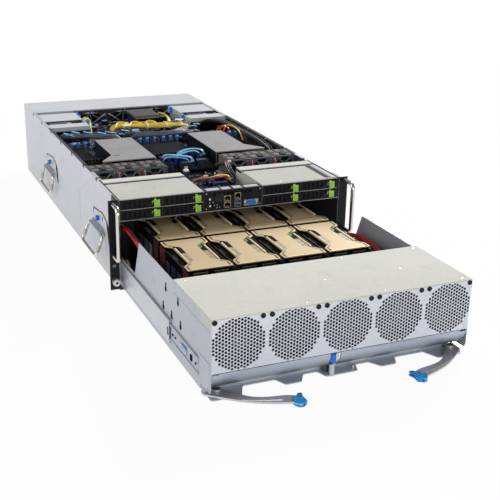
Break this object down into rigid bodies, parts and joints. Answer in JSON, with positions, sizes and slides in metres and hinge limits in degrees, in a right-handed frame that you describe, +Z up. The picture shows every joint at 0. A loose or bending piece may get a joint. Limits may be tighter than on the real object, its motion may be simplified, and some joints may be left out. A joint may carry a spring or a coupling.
{
  "type": "4u gpu server",
  "caption": "Rack server chassis with its graphics tray pulled out on rails: fans, coolers, drive bays, boards, ducts and cables open to view.",
  "frame": {"origin": "middle of the chassis front edge, on its underside", "axes": "+X to the right seen from the front, +Y towards the rear, +Z up"},
  "size_m": [0.4966, 1.4174, 0.175],
  "materials": {
    "chassis_steel": "satin",
    "deck_steel": "satin",
    "lid_steel": "satin",
    "cream_paint": "satin",
    "ear_black": "matte",
    "chrome_bar": "polished",
    "panel_black": "satin",
    "button_white": "matte",
    "board_green": "satin",
    "socket_black": "satin",
    "duct_plastic": "matte",
    "small_fan_plastic": "matte",
    "card_steel": "satin",
    "supply_case": "satin",
    "cable_yellow": "matte",
    "cable_black": "matte",
    "cable_red": "matte",
    "rail_steel": "satin",
    "bracket_steel": "satin",
    "tray_steel": "satin",
    "fan_frame_black": "matte",
    "rotor_black": "satin",
    "cooler_metal": "satin",
    "cover_gold": "satin",
    "lever_steel": "polished",
    "grip_blue": "satin",
    "latch_green": "gloss",
    "carrier_black": "matte",
    "lock_blue": "satin"
  },
  "bodies": {
    "chassis": {"chassis_shell": "chassis_steel", "mid_deck": "deck_steel", "rear_cover": "lid_steel", "drive_cages": "cream_paint", "rack_ears": "ear_black", "grab_handles": "chrome_bar", "front_panel": "panel_black", "mainboard": "board_green", "memory_sockets": "socket_black", "air_ducts": "duct_plastic", "fan_row": "small_fan_plastic", "card_cages": "card_steel", "power_supplies": "supply_case", "yellow_cables": "cable_yellow", "black_cables": "cable_black", "outer_rails": "rail_steel", "bail_brackets": "bracket_steel"},
    "tray": {"tray_pan": "tray_steel", "fan_housing": "cream_paint", "fan_frames": "fan_frame_black", "gpu_heatsinks": "cooler_metal", "gpu_covers": "cover_gold", "gpu_board": "board_green", "tray_cables": "cable_red"},
    "left_member": {"left_rail_member": "rail_steel"},
    "right_member": {"right_rail_member": "rail_steel"},
    "left_pull_lever": {"left_lever": "lever_steel", "left_lever_grip": "grip_blue"},
    "right_pull_lever": {"right_lever": "lever_steel", "right_lever_grip": "grip_blue"},
    "fan_rotor_1": {"fan_rotor_1": "rotor_black"},
    "fan_rotor_2": {"fan_rotor_2": "rotor_black"},
    "fan_rotor_3": {"fan_rotor_3": "rotor_black"},
    "fan_rotor_4": {"fan_rotor_4": "rotor_black"},
    "fan_rotor_5": {"fan_rotor_5": "rotor_black"},
    "drive_carrier_1": {"drive_carrier_1": "carrier_black"},
    "drive_latch_1": {"drive_latch_1": "latch_green"},
    "drive_carrier_2": {"drive_carrier_2": "carrier_black"},
    "drive_latch_2": {"drive_latch_2": "latch_green"},
    "drive_carrier_3": {"drive_carrier_3": "carrier_black"},
    "drive_latch_3": {"drive_latch_3": "latch_green"},
    "drive_carrier_4": {"drive_carrier_4": "carrier_black"},
    "drive_latch_4": {"drive_latch_4": "latch_green"},
    "drive_carrier_5": {"drive_carrier_5": "carrier_black"},
    "drive_latch_5": {"drive_latch_5": "latch_green"},
    "drive_carrier_6": {"drive_carrier_6": "carrier_black"},
    "drive_latch_6": {"drive_latch_6": "latch_green"},
    "drive_carrier_7": {"drive_carrier_7": "carrier_black"},
    "drive_latch_7": {"drive_latch_7": "latch_green"},
    "drive_carrier_8": {"drive_carrier_8": "carrier_black"},
    "drive_latch_8": {"drive_latch_8": "latch_green"},
    "left_front_bail": {"left_front_bail": "chrome_bar"},
    "left_rear_bail": {"left_rear_bail": "chrome_bar"},
    "right_front_bail": {"right_front_bail": "chrome_bar"},
    "right_rear_bail": {"right_rear_bail": "chrome_bar"},
    "left_thumb_screw": {"left_thumb_screw": "chrome_bar"},
    "right_thumb_screw": {"right_thumb_screw": "chrome_bar"},
    "power_button": {"power_button": "button_white"},
    "id_button": {"id_button": "button_white"},
    "lock_pin": {"lock_pin": "lock_blue"}
  },
  "joints": [
    {"name": "tray_slide", "type": "slide", "parent": "chassis", "child": "tray", "axis": [0, 1, 0], "range_m": [0, 0.452]},
    {"name": "left_member_slide", "type": "slide", "parent": "chassis", "child": "left_member", "axis": [0, 1, 0], "range_m": [0, 0.2761]},
    {"name": "right_member_slide", "type": "slide", "parent": "chassis", "child": "right_member", "axis": [0, 1, 0], "range_m": [0, 0.2761]},
    {"name": "left_lever_hinge", "type": "hinge", "parent": "tray", "child": "left_pull_lever", "pos_m": [-0.202, -0.433, 0.0085], "axis": [0, 0, 1], "range_deg": [-12, 28]},
    {"name": "right_lever_hinge", "type": "hinge", "parent": "tray", "child": "right_pull_lever", "pos_m": [0.202, -0.433, 0.0085], "axis": [0, 0, -1], "range_deg": [-12, 28]},
    {"name": "fan_1_spin", "type": "hinge", "parent": "tray", "child": "fan_rotor_1", "pos_m": [-0.176, -0.43, 0.0895], "axis": [0, 1, 0], "continuous": true},
    {"name": "fan_2_spin", "type": "hinge", "parent": "tray", "child": "fan_rotor_2", "pos_m": [-0.088, -0.43, 0.0895], "axis": [0, 1, 0], "continuous": true},
    {"name": "fan_3_spin", "type": "hinge", "parent": "tray", "child": "fan_rotor_3", "pos_m": [0, -0.43, 0.0895], "axis": [0, 1, 0], "continuous": true},
    {"name": "fan_4_spin", "type": "hinge", "parent": "tray", "child": "fan_rotor_4", "pos_m": [0.088, -0.43, 0.0895], "axis": [0, 1, 0], "continuous": true},
    {"name": "fan_5_spin", "type": "hinge", "parent": "tray", "child": "fan_rotor_5", "pos_m": [0.176, -0.43, 0.0895], "axis": [0, 1, 0], "continuous": true},
    {"name": "drive_1_slide", "type": "slide", "parent": "chassis", "child": "drive_carrier_1", "axis": [0, -1, 0], "range_m": [0, 0.105]},
    {"name": "latch_1_hinge", "type": "hinge", "parent": "drive_carrier_1", "child": "drive_latch_1", "pos_m": [-0.1453, 0.0001, 0.142], "axis": [0, 0, 1], "range_deg": [0, 40]},
    {"name": "drive_2_slide", "type": "slide", "parent": "chassis", "child": "drive_carrier_2", "axis": [0, -1, 0], "range_m": [0, 0.105]},
    {"name": "latch_2_hinge", "type": "hinge", "parent": "drive_carrier_2", "child": "drive_latch_2", "pos_m": [-0.1453, 0.0001, 0.16], "axis": [0, 0, 1], "range_deg": [0, 40]},
    {"name": "drive_3_slide", "type": "slide", "parent": "chassis", "child": "drive_carrier_3", "axis": [0, -1, 0], "range_m": [0, 0.105]},
    {"name": "latch_3_hinge", "type": "hinge", "parent": "drive_carrier_3", "child": "drive_latch_3", "pos_m": [-0.0658, 0.0001, 0.142], "axis": [0, 0, 1], "range_deg": [0, 40]},
    {"name": "drive_4_slide", "type": "slide", "parent": "chassis", "child": "drive_carrier_4", "axis": [0, -1, 0], "range_m": [0, 0.105]},
    {"name": "latch_4_hinge", "type": "hinge", "parent": "drive_carrier_4", "child": "drive_latch_4", "pos_m": [-0.0658, 0.0001, 0.16], "axis": [0, 0, 1], "range_deg": [0, 40]},
    {"name": "drive_5_slide", "type": "slide", "parent": "chassis", "child": "drive_carrier_5", "axis": [0, -1, 0], "range_m": [0, 0.105]},
    {"name": "latch_5_hinge", "type": "hinge", "parent": "drive_carrier_5", "child": "drive_latch_5", "pos_m": [0.1337, 0.0001, 0.142], "axis": [0, 0, 1], "range_deg": [0, 40]},
    {"name": "drive_6_slide", "type": "slide", "parent": "chassis", "child": "drive_carrier_6", "axis": [0, -1, 0], "range_m": [0, 0.105]},
    {"name": "latch_6_hinge", "type": "hinge", "parent": "drive_carrier_6", "child": "drive_latch_6", "pos_m": [0.1337, 0.0001, 0.16], "axis": [0, 0, 1], "range_deg": [0, 40]},
    {"name": "drive_7_slide", "type": "slide", "parent": "chassis", "child": "drive_carrier_7", "axis": [0, -1, 0], "range_m": [0, 0.105]},
    {"name": "latch_7_hinge", "type": "hinge", "parent": "drive_carrier_7", "child": "drive_latch_7", "pos_m": [0.2132, 0.0001, 0.142], "axis": [0, 0, 1], "range_deg": [0, 40]},
    {"name": "drive_8_slide", "type": "slide", "parent": "chassis", "child": "drive_carrier_8", "axis": [0, -1, 0], "range_m": [0, 0.105]},
    {"name": "latch_8_hinge", "type": "hinge", "parent": "drive_carrier_8", "child": "drive_latch_8", "pos_m": [0.2132, 0.0001, 0.16], "axis": [0, 0, 1], "range_deg": [0, 40]},
    {"name": "left_front_bail_hinge", "type": "hinge", "parent": "chassis", "child": "left_front_bail", "pos_m": [-0.22958, 0.139, 0.077], "axis": [0, 1, 0], "range_deg": [0, 68]},
    {"name": "left_rear_bail_hinge", "type": "hinge", "parent": "chassis", "child": "left_rear_bail", "pos_m": [-0.22958, 0.577, 0.077], "axis": [0, 1, 0], "range_deg": [0, 78]},
    {"name": "right_front_bail_hinge", "type": "hinge", "parent": "chassis", "child": "right_front_bail", "pos_m": [0.22958, 0.139, 0.077], "axis": [0, -1, 0], "range_deg": [0, 68]},
    {"name": "right_rear_bail_hinge", "type": "hinge", "parent": "chassis", "child": "right_rear_bail", "pos_m": [0.22958, 0.577, 0.077], "axis": [0, -1, 0], "range_deg": [0, 78]},
    {"name": "left_thumb_screw_turn", "type": "hinge", "parent": "chassis", "child": "left_thumb_screw", "pos_m": [-0.23256, -0.008, 0.0208], "axis": [0, 1, 0], "continuous": true},
    {"name": "right_thumb_screw_turn", "type": "hinge", "parent": "chassis", "child": "right_thumb_screw", "pos_m": [0.23256, -0.008, 0.0208], "axis": [0, 1, 0], "continuous": true},
    {"name": "power_button_push", "type": "slide", "parent": "chassis", "child": "power_button", "axis": [0, 1, 0], "range_m": [0, 0.0015], "stiffness_N_per_m": 400},
    {"name": "id_button_push", "type": "slide", "parent": "chassis", "child": "id_button", "axis": [0, 1, 0], "range_m": [0, 0.0015], "stiffness_N_per_m": 400},
    {"name": "lock_pin_lift", "type": "slide", "parent": "tray", "child": "lock_pin", "axis": [0, 0, 1], "range_m": [0, 0.006], "stiffness_N_per_m": 300}
  ],
  "couplings": [
    {"joint": "left_member_slide", "follows": "tray_slide", "ratio": 0.61062},
    {"joint": "right_member_slide", "follows": "tray_slide", "ratio": 0.61062}
  ]
}
